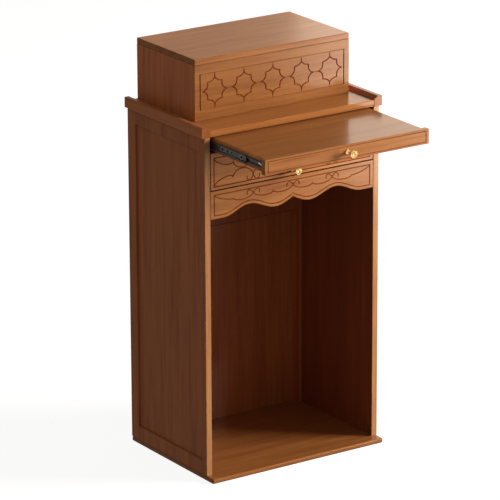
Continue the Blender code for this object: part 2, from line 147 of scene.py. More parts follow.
def lacquered_wood(name, along, tones, sheen=0.38, coat=0.6, shine=0.3):
    """Stained rubberwood under a sprayed satin lacquer: warm orange-brown with soft streaks along
    the grain, short dark pores, and an even sheen that blurs what it mirrors."""
    material, tree, shader = new_finish(
        name, Roughness=sheen, IOR=1.5, Specular_IOR_Level=shine, Coat_Weight=coat, Coat_Roughness=0.16,
        Coat_IOR=1.5)
    dark, middle, light = (linear(tone) for tone in tones)
    # The figure runs in bands 28 mm wide that keep their tone for 420 mm
    figure = add(tree, "ShaderNodeTexNoise", {
        "Vector": grain_space(tree, along, 28, 420).outputs["Vector"],
        "Scale": 1.0, "Detail": 3.0, "Roughness": 0.55, "Distortion": 0.35})
    # Streaks 6.5 mm wide, then fibres 1.7 mm wide, both coarser than real so that they show
    streaks = add(tree, "ShaderNodeTexNoise", {
        "Vector": grain_space(tree, along, 6.5, 210).outputs["Vector"],
        "Scale": 1.0, "Detail": 2.0, "Roughness": 0.5, "Distortion": 0.15})
    fibres = add(tree, "ShaderNodeTexNoise", {
        "Vector": grain_space(tree, along, 1.7, 60).outputs["Vector"],
        "Scale": 1.0, "Detail": 2.0, "Roughness": 0.6})
    # Pores are short dark dashes, 1.1 mm by 9 mm
    pores = add(tree, "ShaderNodeTexNoise", {
        "Vector": grain_space(tree, along, 1.1, 9).outputs["Vector"],
        "Scale": 1.0, "Detail": 0.0})
    both = add(tree, "ShaderNodeMix", {
        0: 0.42, 2: figure.outputs["Fac"], 3: streaks.outputs["Fac"]}, data_type="FLOAT")
    ramp = add(tree, "ShaderNodeValToRGB", {"Fac": both.outputs[0]})
    ramp.color_ramp.elements[0].position, ramp.color_ramp.elements[0].color = 0.34, dark
    ramp.color_ramp.elements[1].position, ramp.color_ramp.elements[1].color = 0.68, light
    ramp.color_ramp.elements.new(0.50).color = middle
    fibre_tone = add(tree, "ShaderNodeMapRange", {
        "Value": fibres.outputs["Fac"], "From Min": 0.32, "From Max": 0.68, "To Min": 0.92, "To Max": 1.06})
    pore_tone = add(tree, "ShaderNodeMapRange", {
        "Value": pores.outputs["Fac"], "From Min": 0.24, "From Max": 0.36, "To Min": 0.84, "To Max": 1.0})
    board_tone = add(tree, "ShaderNodeAttribute", attribute_name="board_tone")
    shade = add(tree, "ShaderNodeMath", {0: fibre_tone.outputs[0], 1: pore_tone.outputs[0]},
                operation="MULTIPLY")
    shade = add(tree, "ShaderNodeMath", {0: shade.outputs[0], 1: board_tone.outputs["Fac"]},
                operation="MULTIPLY")
    toned = add(tree, "ShaderNodeVectorMath", {0: ramp.outputs["Color"], "Scale": shade.outputs[0]},
                operation="SCALE")
    tree.links.new(toned.outputs["Vector"], shader.inputs["Base Color"])
    # The lacquer lies a little flatter over the dense streaks than over the open ones
    gloss = add(tree, "ShaderNodeMapRange", {
        "Value": streaks.outputs["Fac"], "From Min": 0.3, "From Max": 0.7,
        "To Min": sheen - 0.05, "To Max": sheen + 0.07})
    tree.links.new(gloss.outputs[0], shader.inputs["Roughness"])
    rise = add(tree, "ShaderNodeMath", {0: fibres.outputs["Fac"], 1: pore_tone.outputs[0]},
               operation="MULTIPLY")
    bump = add(tree, "ShaderNodeBump", {"Strength": 0.16, "Distance": 0.0004, "Height": rise.outputs[0]})
    tree.links.new(bump.outputs["Normal"], shader.inputs["Normal"])
    return material


def coated_steel():
    """Cold-rolled steel sheet under a black electrocoat that is rubbed to a dark grey: smooth, with
    draw lines about 1 mm wide along the slide and a cloudy bloom of 18 mm."""
    material, tree, shader = new_finish(
        "black electrocoated steel", Roughness=0.38, Coat_Weight=0.2, Coat_Roughness=0.2)
    place = add(tree, "ShaderNodeTexCoord")
    lines = add(tree, "ShaderNodeMapping", {"Vector": place.outputs["Object"], "Scale": (900, 12, 900)})
    draw = add(tree, "ShaderNodeTexNoise", {"Vector": lines.outputs["Vector"], "Scale": 1.0, "Detail": 2.0})
    bloom = add(tree, "ShaderNodeTexNoise", {"Vector": place.outputs["Object"], "Scale": 55.0, "Detail": 3.0})
    mixed = add(tree, "ShaderNodeMath", {0: draw.outputs["Fac"], 1: bloom.outputs["Fac"]},
                operation="MULTIPLY")
    ramp = add(tree, "ShaderNodeValToRGB", {"Fac": mixed.outputs[0]})
    ramp.color_ramp.elements[0].position, ramp.color_ramp.elements[0].color = 0.16, linear("201E1D")
    ramp.color_ramp.elements[1].position, ramp.color_ramp.elements[1].color = 0.40, linear("403C39")
    tree.links.new(ramp.outputs["Color"], shader.inputs["Base Color"])
    gloss = add(tree, "ShaderNodeMapRange", {"Value": draw.outputs["Fac"], "To Min": 0.26, "To Max": 0.46})
    tree.links.new(gloss.outputs[0], shader.inputs["Roughness"])
    bump = add(tree, "ShaderNodeBump", {"Strength": 0.1, "Distance": 0.0002, "Height": draw.outputs["Fac"]})
    tree.links.new(bump.outputs["Normal"], shader.inputs["Normal"])
    return material


def metal(name, low_tone, high_tone, smooth, worn, patch_mm):
    """A bare metal whose polish varies in soft patches of patch_mm."""
    material, tree, shader = new_finish(name, Metallic=1.0)
    place = add(tree, "ShaderNodeTexCoord")
    patches = add(tree, "ShaderNodeTexNoise", {
        "Vector": place.outputs["Object"], "Scale": 1000 / patch_mm, "Detail": 3.0})
    ramp = add(tree, "ShaderNodeValToRGB", {"Fac": patches.outputs["Fac"]})
    ramp.color_ramp.elements[0].position, ramp.color_ramp.elements[0].color = 0.35, linear(low_tone)
    ramp.color_ramp.elements[1].position, ramp.color_ramp.elements[1].color = 0.65, linear(high_tone)
    tree.links.new(ramp.outputs["Color"], shader.inputs["Base Color"])
    gloss = add(tree, "ShaderNodeMapRange", {
        "Value": patches.outputs["Fac"], "From Min": 0.3, "From Max": 0.7, "To Min": smooth, "To Max": worn})
    tree.links.new(gloss.outputs[0], shader.inputs["Roughness"])
    bump = add(tree, "ShaderNodeBump", {
        "Strength": 0.05, "Distance": 0.0001, "Height": patches.outputs["Fac"]})
    tree.links.new(bump.outputs["Normal"], shader.inputs["Normal"])
    return material


def dull_black(name, low_tone, high_tone, grain_mm, roughness, shine):
    """Moulded polypropylene, deep grey with a fine even texture and a dull shine, or the near-black painted
    shade in the slide's holes, too dull to mirror anything."""
    material, tree, shader = new_finish(name, Roughness=roughness, IOR=1.49, Specular_IOR_Level=shine)
    place = add(tree, "ShaderNodeTexCoord")
    texture = add(tree, "ShaderNodeTexNoise", {
        "Vector": place.outputs["Object"], "Scale": 1000 / grain_mm, "Detail": 1.0})
    ramp = add(tree, "ShaderNodeValToRGB", {"Fac": texture.outputs["Fac"]})
    ramp.color_ramp.elements[0].color = linear(low_tone)
    ramp.color_ramp.elements[1].color = linear(high_tone)
    tree.links.new(ramp.outputs["Color"], shader.inputs["Base Color"])
    bump = add(tree, "ShaderNodeBump", {
        "Strength": 0.2, "Distance": 0.0001, "Height": texture.outputs["Fac"]})
    tree.links.new(bump.outputs["Normal"], shader.inputs["Normal"])
    return material


# Pieces

def as_piece(thing, nodes, body, tone=None):
    """Gives a finished mesh its own cut of the wood, and lets it stand for its nodes. The grooves keep the
    tone of their darker finish, which is stain and painted shade."""
    mesh = thing.data
    own = random.Random(thing.name)
    shift = [own.uniform(-3, 3) for _ in range(3)]
    value = tone if tone is not None else own.uniform(0.95, 1.05)
    cut_from = mesh.attributes.new("board_shift", "FLOAT_VECTOR", "POINT")
    cut_from.data.foreach_set("vector", shift * len(mesh.vertices))
    brightness = mesh.attributes.new("board_tone", "FLOAT", "FACE")
    brightness.data.foreach_set("value", [
        1.0 if mesh.materials[polygon.material_index] in (wood_groove_stain_and_shade, wood_glaze_and_shade) else value
        for polygon in mesh.polygons])
    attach(thing, body)
    if nodes:
        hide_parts(*nodes)
    return thing


def tone_faces(thing, direction, value):
    """Another tone for the bare faces that look one way, lighter as painted light or darker as painted shade.
    """
    tones = thing.data.attributes["board_tone"].data
    for polygon in thing.data.polygons:
        if polygon.material_index == 0 and polygon.normal.dot(Vector(direction)) > 0.9:
            tones[polygon.index].value = value


def new_object(name, shape, materials):
    """An object in the scene from a bmesh, its faces turned outwards."""
    bmesh.ops.recalc_face_normals(shape, faces=shape.faces)
    mesh = bpy.data.meshes.new(name)
    shape.to_mesh(mesh)
    shape.free()
    for material in materials:
        mesh.materials.append(material)
    thing = bpy.data.objects.new(name, mesh)
    bpy.context.scene.collection.objects.link(thing)
    return thing


def settle(thing):
    """The object with its modifiers' result as its own mesh."""
    bpy.context.view_layer.update()
    evaluated = thing.evaluated_get(bpy.context.evaluated_depsgraph_get())
    mesh = bpy.data.meshes.new_from_object(evaluated)
    thing.modifiers.clear()
    thing.data = mesh
    return thing


def smooth_edges(thing, sharp=32):
    """Smooth shading but for edges sharper than so many degrees, with even light on the flat faces."""
    shape = bmesh.new()
    shape.from_mesh(thing.data)
    bmesh.ops.remove_doubles(shape, verts=shape.verts, dist=1e-6)
    for face in shape.faces:
        face.smooth = True
    for edge in shape.edges:
        edge.smooth = len(edge.link_faces) == 2 and edge.calc_face_angle(pi) < radians(sharp)
    shape.to_mesh(thing.data)
    shape.free()
    even = thing.modifiers.new("even faces", "WEIGHTED_NORMAL")
    even.keep_sharp = True
    return thing


def add_block(shape, low, high):
    """A block between its lowest and highest corners."""
    low, high = Vector(low), Vector(high)
    bmesh.ops.create_cube(
        shape, size=1.0, matrix=Matrix.Translation((low + high) / 2) @ Matrix.Diagonal((*(high - low), 1.0)))


def add_prism(shape, outline, start, end, point):
    """A flat outline drawn out from start to end; point(a, b, c) gives a corner's place."""
    near, far = ([shape.verts.new(point(a, b, c)) for a, b in outline] for c in (start, end))
    shape.faces.new(near)
    shape.faces.new(list(reversed(far)))
    for number in range(len(outline)):
        after = (number + 1) % len(outline)
        shape.faces.new((near[number], near[after], far[after], far[number]))


def rounded(thing, width, segments=3, angle=30):
    """Sanded edges: every edge sharper than the angle gets a small round."""
    bevel = thing.modifiers.new("sanded edges", "BEVEL")
    bevel.width = width
    bevel.segments = segments
    bevel.limit_method = "ANGLE"
    bevel.angle_limit = radians(angle)
    bevel.use_clamp_overlap = True
    return thing


def board(node, material, body="cabinet", easing=0.0012, tone=None):
    """A plain board where the part has it, with sanded edges."""
    shape = bmesh.new()
    add_block(shape, *boxes(node))
    thing = rounded(new_object(node + "_board", shape, [material]), easing)
    return as_piece(smooth_edges(settle(thing)), [node], body, tone=tone)


# Where add_prism puts a corner: lying outlines are in X and Y, standing ones in X and Z, and
# sideways ones in Y and Z

def lying(a, b, c):
    return (a, b, c)


def standing(a, b, c):
    return (a, c, b)


def sideways(a, b, c):
    return (c, a, b)


# Carving

def groove_cutters(name, lines, face, radius, groove_finish):
    """Round-bottomed cutters along lines of X and Z points in front of the face."""
    group = bpy.data.collections.new(name)
    bpy.context.scene.collection.children.link(group)
    for number, points in enumerate(lines):
        curve = bpy.data.curves.new(f"{name}_{number}", "CURVE")
        curve.dimensions = "3D"
        line = curve.splines.new("POLY")
        line.points.add(len(points) - 1)
        for point, (x, z) in zip(line.points, points):
            point.co = (x, face - radius * 0.18, z, 1)
        curve.bevel_depth = radius
        curve.bevel_resolution = 2
        curve.use_fill_caps = True
        tube = bpy.data.objects.new(f"{name}_{number}", curve)
        group.objects.link(tube)
        bpy.context.view_layer.update()
        mesh = bpy.data.meshes.new_from_object(tube.evaluated_get(bpy.context.evaluated_depsgraph_get()))
        bpy.data.objects.remove(tube)
        shape = bmesh.new()
        shape.from_mesh(mesh)
        bmesh.ops.remove_doubles(shape, verts=shape.verts, dist=1e-6)
        bmesh.ops.recalc_face_normals(shape, faces=shape.faces)
        shape.to_mesh(mesh)
        shape.free()
        mesh.materials.clear()
        mesh.materials.append(groove_finish)
        group.objects.link(bpy.data.objects.new(f"{name}_{number}", mesh))
    return group


def carve(thing, lines, face, groove_finish, radius=0.0019):
    """Cuts the lines into the face; their walls take a darker finish, which is stain settled in them and
    painted shade.
    """
    group = groove_cutters(thing.name + "_cutter", lines, face, radius, groove_finish)
    boolean = thing.modifiers.new("carving", "BOOLEAN")
    boolean.operation = "DIFFERENCE"
    boolean.operand_type = "COLLECTION"
    boolean.collection = group
    boolean.solver = "EXACT"
    boolean.material_mode = "TRANSFER"
    settle(thing)
    for cutter in list(group.objects):
        bpy.data.objects.remove(cutter)
    bpy.data.collections.remove(group)
    return thing


def frame_lines(left, right, bottom, top):
    """The four lines of a frame, each a little too long, so that their corners are cut clean."""
    over = 0.001
    return [
        [(left - over, bottom), (right + over, bottom)],
        [(left - over, top), (right + over, top)],
        [(left, bottom - over), (left, top + over)],
        [(right, bottom - over), (right, top + over)],
    ]


def bow(start, end, depth, steps=20):
    """Half of a flattened ellipse hung between two points."""
    points = []
    for step in range(steps + 1):
        angle = pi * step / steps
        share = (1 - cos(angle)) / 2
        points.append((
            start[0] + (end[0] - start[0]) * share,
            start[1] + (end[1] - start[1]) * share - depth * sin(angle)))
    return points


def arc(start, end, bulge, steps=9):
    """Part of a circle between two points; its height over the half chord is the bulge."""
    start, end = Vector(start), Vector(end)
    middle, half = (start + end) / 2, (end - start) / 2
    side = Vector((-half.y, half.x))
    centre = middle - side * (1 - bulge ** 2) / (2 * bulge)
    radius_arm = start - centre
    whole = radius_arm.angle_signed(end - centre)
    return [
        tuple(centre + Matrix.Rotation(-whole * step / steps, 2) @ radius_arm) for step in range(steps + 1)]


def star_lines(centre_x, centre_z):
    """Eight arcs that bow inwards between the four tips and the four corners of a star."""
    tip_right, tip_top, corner = (0.042, 0), (0, 0.038), (0.025, 0.026)
    quarter = ((tip_top, corner, -0.26), (corner, tip_right, -0.50))
    lines = []
    for flip_x in (1, -1):
        for flip_z in (1, -1):
            for start, end, bulge in quarter:
                points = arc(start, end, bulge)
                lines.append([(centre_x + flip_x * x, centre_z + flip_z * z) for x, z in points])
    return lines


def box_front_lines(low, high):
    """Five stars between two uprights, cut deep, and the shallow lines that tie them together."""
    stars, margin_below, margin_above = 5, 0.0297, 0.0277
    left, bottom, top = box_board - box_half, low.z + margin_below, high.z - margin_above
    centre_z, pitch = (bottom + top) / 2, -2 * left / stars
    stem_foot, stem_end, faint_end, half_join = 0.036, 0.046, 0.052, 0.0094
    across_low, across_high, *deep = frame_lines(left, -left, bottom, top)
    shallow = [across_low, across_high]
    for number in range(stars):
        centre_x = left + pitch * (number + 0.5)
        deep += star_lines(centre_x, centre_z)
        for up in (1, -1):
            deep.append([(centre_x, centre_z + up * stem_foot), (centre_x, centre_z + up * stem_end)])
            shallow.append([
                (centre_x, centre_z + up * (stem_end - 0.001)), (centre_x, centre_z + up * faint_end)])
        if number:
            join = centre_x - pitch / 2
            shallow.append([(join - half_join, centre_z), (join + half_join, centre_z)])
    return deep, shallow


def scroll_lines(corner_z, cross_z, up, depth, cusp, curl_shift):
    """Bows that cross at three places and end there in curls; up is 1 where they hang down."""
    end_bow, curl_x, curl_radius, curl_steps = 0.0645, 0.013, 0.0085, 18
    pitch = (frame_half - end_bow) / 1.5
    lines = []
    for number in (-1, 0, 1):
        for way in (1, -1):
            cross_x = number * pitch
            points = bow((cross_x - way * pitch / 2, cross_z - up * cusp), (cross_x, cross_z), up * depth)
            for step in range(curl_steps + 1):
                angle = pi * (0.85 - 1.05 * step / curl_steps)
                points.append((
                    cross_x + way * (curl_x + curl_radius * cos(angle)),
                    cross_z + up * (curl_shift + curl_radius * sin(angle))))
            lines.append(points)
    for way in (1, -1):
        end = (way * 1.5 * pitch, cross_z - up * cusp)
        lines.append(bow((way * frame_half, corner_z), end, up * depth * 0.55))
    return lines


def scallop(half, bottom, lift=0.0, end=None):
    """The apron's lower edge: flat at both ends, up to a crown, down again, and up to a pointed cusp
    in the middle."""
    flat, crown, low = half * 0.844, half * 0.528, half * 0.209
    crown_rise, low_rise, cusp_rise = 0.026, 0.002, 0.022
    left = [(-(half if end is None else end), 0.0)]
    for step in range(21):
        share = step / 20
        left.append((-flat + (flat - crown) * share, crown_rise * (1 - cos(pi * share)) / 2))
    for step in range(1, 21):
        share = step / 20
        drop = (crown_rise - low_rise) * (1 - cos(pi * share)) / 2
        left.append((-crown + (crown - low) * share, crown_rise - drop))
    for step in range(1, 15):
        share = step / 14
        rise = (cusp_rise - low_rise) * (1 - cos(pi * share / 2))
        left.append((-low + low * share, low_rise + rise))
    right = [(-x, z) for x, z in reversed(left[:-1])]
    return [(x, bottom + lift + z) for x, z in left + right]


# Carcass

def side_frame(name, way):
    """Two stiles with two rails let in between them, all rebated on the inner side for the panel."""
    low, high = boxes(f"side_frame_{name}")
    outer, inner, seat = way * half_width, way * inside_half, way * (half_width - panel_recess)
    shape = bmesh.new()

    def section(edge, window, lap):
        return [(outer, edge), (outer, window), (seat, window), (seat, lap), (inner, lap), (inner, edge)]

    front_stile_end, back_stile_end = front + front_stile, back - back_stile
    hairline = 0.0001
    stiles = (
        section(low.y, front_stile_end, front_stile_end - panel_lap),
        section(high.y, back_stile_end, back_stile_end + panel_lap))
    for outline in stiles:
        add_prism(shape, outline, low.z, high.z, lying)
    rails = (
        section(low.z, base_top + bottom_rail, base_top + bottom_rail - panel_lap),
        section(high.z, body_top - top_rail, body_top - top_rail + panel_lap))
    for outline in rails:
        add_prism(shape, outline, front_stile_end + hairline, back_stile_end - hairline, standing)
    outer_edges = [
        edge for edge in shape.edges if all(abs(vert.co.x - outer) < 1e-5 for vert in edge.verts)]
    bmesh.ops.bevel(
        shape, geom=outer_edges, offset=0.0008, segments=3, profile=0.5, affect="EDGES", clamp_overlap=True)
    thing = new_object(f"side_frame_{name}_joinery", shape, [wood_upright, wood_inside_painted_shade, wood_edge_painted_light])
    paint_shade_and_light_by_side(smooth_edges(thing), way)
    as_piece(thing, [f"side_frame_{name}"], "cabinet", tone=1.06)


def paint_shade_and_light_by_side(thing, way):
    """The inner faces take a darker copy of the wood as painted shade, and the front edges a lighter copy as
    painted light.
    """
    for polygon in thing.data.polygons:
        if polygon.normal.x * way < -0.9:
            polygon.material_index = 1
        elif polygon.normal.y < -0.9 and polygon.center.y < front + 0.001:
            polygon.material_index = 2


def side_panel(name, way):
    """The panel that lies in the side frame's rebate, a step back from its outer face."""
    shape = bmesh.new()
    add_block(shape, *boxes(f"side_panel_{name}"))
    thing = new_object(f"side_panel_{name}_board", shape, [wood_upright, wood_inside_painted_shade, wood_edge_painted_light])
    paint_shade_and_light_by_side(smooth_edges(thing), way)
    as_piece(thing, [f"side_panel_{name}"], "cabinet", tone=1.04)


def carcass():
    """Base, back, dust board and the two framed sides."""
    board("base_board", wood_long, easing=0.0045, tone=0.79)
    board("back_panel_lower", wood_back_painted_shade, easing=0.0015, tone=1.0)
    board("back_panel_upper", wood_back_painted_shade, easing=0.0015, tone=0.94)
    board("dust_board", wood_long)
    for name, way in sides:
        side_frame(name, way)
        side_panel(name, way)
        board(f"back_batten_{name}", wood_back_painted_shade)


def top_board():
    """The board's front edge has a small nose over a step set back under it."""
    low, high = boxes("top_board")
    nose, slant, step = 0.0045, 0.0012, 0.002
    outline = [
        (low.y, high.z), (high.y, high.z), (high.y, low.z), (low.y + step, low.z),
        (low.y + step, low.z + nose), (low.y, low.z + nose + slant)]
    shape = bmesh.new()
    add_prism(shape, outline, low.x, high.x, sideways)
    thing = rounded(new_object("top_board_moulded", shape, [wood_long]), 0.0014)
    # The front face is painted a little darker than the rest, as painted shade
    tone_faces(as_piece(smooth_edges(settle(thing)), ["top_board"], "cabinet", tone=1.08), (0, -1, 0), 0.93)


def top_curb(name, way):
    """A strip with an upright outer face, a rounded top and a long slope down to the board."""
    low, high = boxes(f"top_curb_{name}")
    outer, inner = (low.x, high.x) if way < 0 else (high.x, low.x)
    inwards = -way
    points = [(outer, low.z)]
    rounding = 0.003
    for step in range(6):
        angle = pi / 2 * step / 5
        points.append((
            outer + inwards * rounding * (1 - cos(angle)), high.z - rounding + rounding * sin(angle)))
    slope_start, foot = 0.012, high.z - 0.007
    run = abs(inner - outer) - slope_start
    for step in range(1, 9):
        share = step / 8
        points.append((
            outer + inwards * (slope_start + run * share),
            high.z - (high.z - foot) * (1 - cos(pi * share)) / 2))
    points.append((inner, low.z))
    shape = bmesh.new()
    add_prism(shape, points, low.y, high.y, standing)
    thing = rounded(new_object(f"top_curb_{name}_shaped", shape, [wood_deep]), 0.0007, 2, 50)
    as_piece(smooth_edges(settle(thing)), [f"top_curb_{name}"], "cabinet", tone=1.16)
    # The front ends are painted darker, as painted shade
    tone_faces(thing, (0, -1, 0), 0.72)


def raised_box():
    """The closed box on the top board: a carved front, mitred to its sides, a back and a top."""
    low, high = boxes("box_front")
    inner_y = box_front_face + box_board
    mitre = fit * 0.7
    outline = [
        (-box_half + mitre, box_front_face), (box_half - mitre, box_front_face),
        (box_half - box_board - mitre, inner_y), (-box_half + box_board + mitre, inner_y)]
    shape = bmesh.new()
    add_prism(shape, outline, low.z, high.z, lying)
    panel = new_object("box_front_carved", shape, [wood_long])
    deep, shallow = box_front_lines(low, high)
    carve(panel, deep, box_front_face, wood_glaze_and_shade, 0.0020)
    carve(panel, shallow, box_front_face, wood_groove_stain_and_shade, 0.0011)
    as_piece(smooth_edges(panel), ["box_front"], "cabinet", tone=0.71)
    for name, way in sides:
        side_low, side_high = boxes(f"box_side_{name}")
        outline = [
            (way * box_half, box_front_face + mitre), (way * box_half, back),
            (way * (box_half - box_board), back), (way * (box_half - box_board), inner_y + mitre)]
        shape = bmesh.new()
        add_prism(shape, outline, side_low.z, side_high.z, lying)
        thing = rounded(new_object(f"box_side_{name}_mitred", shape, [wood_upright]), 0.0004, 2, 60)
        as_piece(smooth_edges(settle(thing)), [f"box_side_{name}"], "cabinet", tone=1.32)
    board("box_back", wood_long)
    # The upper face is painted much lighter than the edges, as painted light
    tone_faces(board("box_top", wood_long, easing=0.0016, tone=0.86), (0, 0, 1), 1.50)


def apron():
    """The scalloped board over the open compartment, with scrolls along its top."""
    low, high = boxes("apron")
    half = high.x
    shape = bmesh.new()
    add_prism(shape, [*scallop(half, low.z), (half, high.z), (-half, high.z)], low.y, high.y, standing)
    piece = rounded(new_object("apron_carved", shape, [wood_long]), 0.0022, 3, 60)
    settle(piece)
    margin_below, margin_above, cross_drop, over = 0.0105, 0.0125, 0.012, 0.001
    frame_top, frame_bottom = high.z - margin_above, low.z + margin_below
    lines = [
        scallop(half, low.z, margin_below, frame_half),
        [(-frame_half - over, frame_top), (frame_half + over, frame_top)]]
    for way in (1, -1):
        lines.append([(way * frame_half, frame_bottom - over), (way * frame_half, frame_top + over)])
    lines += scroll_lines(frame_top, frame_top - cross_drop, 1, 0.012, 0.006, 0.0)
    carve(piece, lines, low.y, wood_glaze_and_shade, 0.0016)
    as_piece(smooth_edges(piece), ["apron"], "cabinet", tone=0.90)
    # Its top edge and top face are painted dark, as painted shade in the gap under the drawer
    tone_faces(piece, (0, -0.7, 0.714), 0.45)
    tone_faces(piece, (0, 0, 1), 0.14)


def screw_caps():
    """Low domed caps over the screws that hold the apron."""
    for name, way in sides:
        for number in (1, 2):
            node = f"screw_cap_{name}_{number}"
            low, high = boxes(node)
            middle = (low + high) / 2
            depth = high.x - low.x
            profile = [
                (0.0, depth), (0.0011, depth * 0.95), (0.0019, depth * 0.72), (0.0024, depth * 0.35),
                (0.0025, 0)]
            axis = Matrix.Translation((low.x if way > 0 else high.x, middle.y, middle.z)) @ Matrix.Rotation(
                way * pi / 2, 4, "Y")
            thing = turned(node + "_dome", profile, axis, 20, zinc)
            as_piece(thing, [node], "cabinet")


# Tray and drawer

def turned(name, profile, place, steps, material):
    """A solid turned about its own Z from a profile of radius and height, closed at its foot."""
    shape = bmesh.new()
    rings = []
    for radius, height in profile:
        if radius == 0:
            rings.append([shape.verts.new((0, 0, height))])
        else:
            rings.append([shape.verts.new((
                radius * cos(2 * pi * step / steps), radius * sin(2 * pi * step / steps), height))
                for step in range(steps)])
    for upper, lower in zip(rings, rings[1:]):
        for step in range(steps):
            after = (step + 1) % steps
            if len(upper) == 1:
                shape.faces.new((upper[0], lower[step], lower[after]))
            elif len(lower) == 1:
                shape.faces.new((upper[step], lower[0], upper[after]))
            else:
                shape.faces.new((upper[step], lower[step], lower[after], upper[after]))
    if len(rings[-1]) > 1:
        shape.faces.new(list(reversed(rings[-1])))
    bmesh.ops.transform(shape, matrix=place, verts=shape.verts)
    thing = new_object(name, shape, [material])
    return smooth_edges(thing, 40)


def knob(node, body):
    """A turned brass knob: a dished disc with a ring, an hourglass neck and a round foot."""
    low, high = boxes(node)
    reach = high.y - low.y
    disc_back, waist, foot_top = reach - 0.0045, 0.0125, 0.0018
    edge_round, disc_flat, neck, foot = 0.0012, 0.0098, 0.0042, 0.0090
    # The face of the disc from its middle outwards: a dish, a ring, a groove and the rim
    profile = [(0.0, reach - 0.0014), (0.0022, reach - 0.00135), (0.0036, reach - 0.0011),
               (0.0045, reach - 0.0006), (0.0052, reach - 0.0001), (0.0058, reach), (0.0068, reach - 0.00015),
               (0.0074, reach - 0.0006), (0.0080, reach - 0.00065), (0.0085, reach - 0.0002), (0.0091, reach)]
    turns = [pi / 2 * step / 6 for step in range(7)]
    profile += [(disc_flat + edge_round * sin(angle), reach - edge_round * (1 - cos(angle)))
                for angle in turns[1:]]
    profile += [(disc_flat + edge_round * cos(angle), disc_back + edge_round * (1 - sin(angle)))
                for angle in turns]
    shares = [step / 10 for step in range(1, 11)]
    profile += [
        (disc_flat - (disc_flat - neck) * sin(pi / 2 * share), disc_back + (waist - disc_back) * share)
        for share in shares]
    profile += [
        (neck + (foot - 0.0002 - neck) * (1 - cos(pi / 2 * share)), waist + (foot_top - waist) * share)
        for share in shares]
    profile += [(foot, 0.0014), (foot, 0.0003), (foot - 0.0003, 0.0)]
    middle = (low + high) / 2
    place = Matrix.Translation((middle.x, high.y, middle.z)) @ Matrix.Rotation(pi / 2, 4, "X")
    as_piece(turned(node + "_turned", profile, place, 64, brass), [node], body)


def ribbon(path, thickness, radius):
    """The outline of a bent sheet of even thickness along a path with rounded corners."""
    centre = [Vector(path[0])]
    for before, corner, after in zip(path, path[1:], path[2:]):
        before, corner, after = Vector(before), Vector(corner), Vector(after)
        way_in, way_out = (corner - before).normalized(), (after - corner).normalized()
        start, end = corner - way_in * radius, corner + way_out * radius
        for step in range(6):
            share = step / 5
            centre.append(start.lerp(corner, share).lerp(corner.lerp(end, share), share))
    centre.append(Vector(path[-1]))
    left, right = [], []
    for number, point in enumerate(centre):
        ahead = centre[min(number + 1, len(centre) - 1)] - centre[max(number - 1, 0)]
        normal = Vector((-ahead.y, ahead.x)).normalized() * thickness / 2
        left.append(tuple(point + normal))
        right.append(tuple(point - normal))
    return left + right[::-1]


def member_faces(kind, member, name, way):
    """A slide member's box, its web's outer skin, and the side its channel opens to: inwards on the
    outer member and outwards on the other two."""
    low, high = boxes(f"{kind}_slide_{member}_{name}")
    opening = -way if member == "outer" else way
    return low, high, low.x if opening > 0 else high.x, opening


def channel(shape, low, high, opening):
    """A rolled channel that fills its box: a web and two lips, turned in to hold the balls."""
    half_sheet, bend = slide_sheet / 2, 0.0011
    left, right = low.x + half_sheet, high.x - half_sheet
    web, lip = (left, right) if opening > 0 else (right, left)
    bottom, top = low.z + half_sheet, high.z - half_sheet
    turn_in = min(0.0032, (top - bottom) / 4)
    path = [
        (lip, bottom + turn_in), (lip, bottom), (web, bottom), (web, top), (lip, top), (lip, top - turn_in)]
    add_prism(shape, ribbon(path, slide_sheet, bend), low.y, high.y, standing)


def hole_rod(centre, radius, length=0.006):
    """A rod along X that cuts a hole through a slide's web."""
    shape = bmesh.new()
    bmesh.ops.create_cone(
        shape, cap_ends=True, segments=28, radius1=radius, radius2=radius, depth=length,
        matrix=Matrix.Translation(centre) @ Matrix.Rotation(pi / 2, 4, "Y"))
    return new_object("hole_rod", shape, [])


def slide_member(kind, member, name, way, body):
    """A rolled member with its holes."""
    node = f"{kind}_slide_{member}_{name}"
    low, high, web, opening = member_faces(kind, member, name, way)
    shape = bmesh.new()
    channel(shape, low, high, opening)
    thing = new_object(node + "_rolled", shape, [slide_steel])
    holes, radius = {
        "outer": (outer_screws, 0.0024),
        "middle": (middle_holes + latch_hole, middle_hole_radius),
        "inner": (inner_screws, 0.0022)}[member]
    rods = [hole_rod((web, low.y + place, (low.z + high.z) / 2), radius) for place in holes]
    for rod in rods:
        boolean = thing.modifiers.new("hole", "BOOLEAN")
        boolean.operation = "DIFFERENCE"
        boolean.solver = "EXACT"
        boolean.object = rod
    settle(thing)
    for rod in rods:
        bpy.data.objects.remove(rod)
    as_piece(smooth_edges(thing, 35), [node], body)


def begin_tree(name, points, sizes, result):
    """A tree that takes points, sizes and a finish, and the outputs of its group input."""
    tree = bpy.data.node_groups.new(name, "GeometryNodeTree")
    for label, kind in ((points, "Geometry"), *sizes, ("Finish", "Material")):
        tree.interface.new_socket(label, in_out="INPUT", socket_type="NodeSocket" + kind)
    tree.interface.new_socket(result, in_out="OUTPUT", socket_type="NodeSocketGeometry")
    return tree, add(tree, "NodeGroupInput").outputs


def end_tree(tree, given, points, shape, result):
    """Ends a tree with the shape on each point, made real, smooth and finished."""
    copies = add(tree, "GeometryNodeInstanceOnPoints", {"Points": points, "Instance": shape})
    real = add(tree, "GeometryNodeRealizeInstances", {"Geometry": copies.outputs["Instances"]})
    soft = add(tree, "GeometryNodeSetShadeSmooth", {"Geometry": real.outputs["Geometry"]})
    finished = add(tree, "GeometryNodeSetMaterial", {
        "Geometry": soft.outputs["Geometry"], "Material": given["Finish"]})
    add(tree, "NodeGroupOutput", {result: finished.outputs["Geometry"]})
    return tree


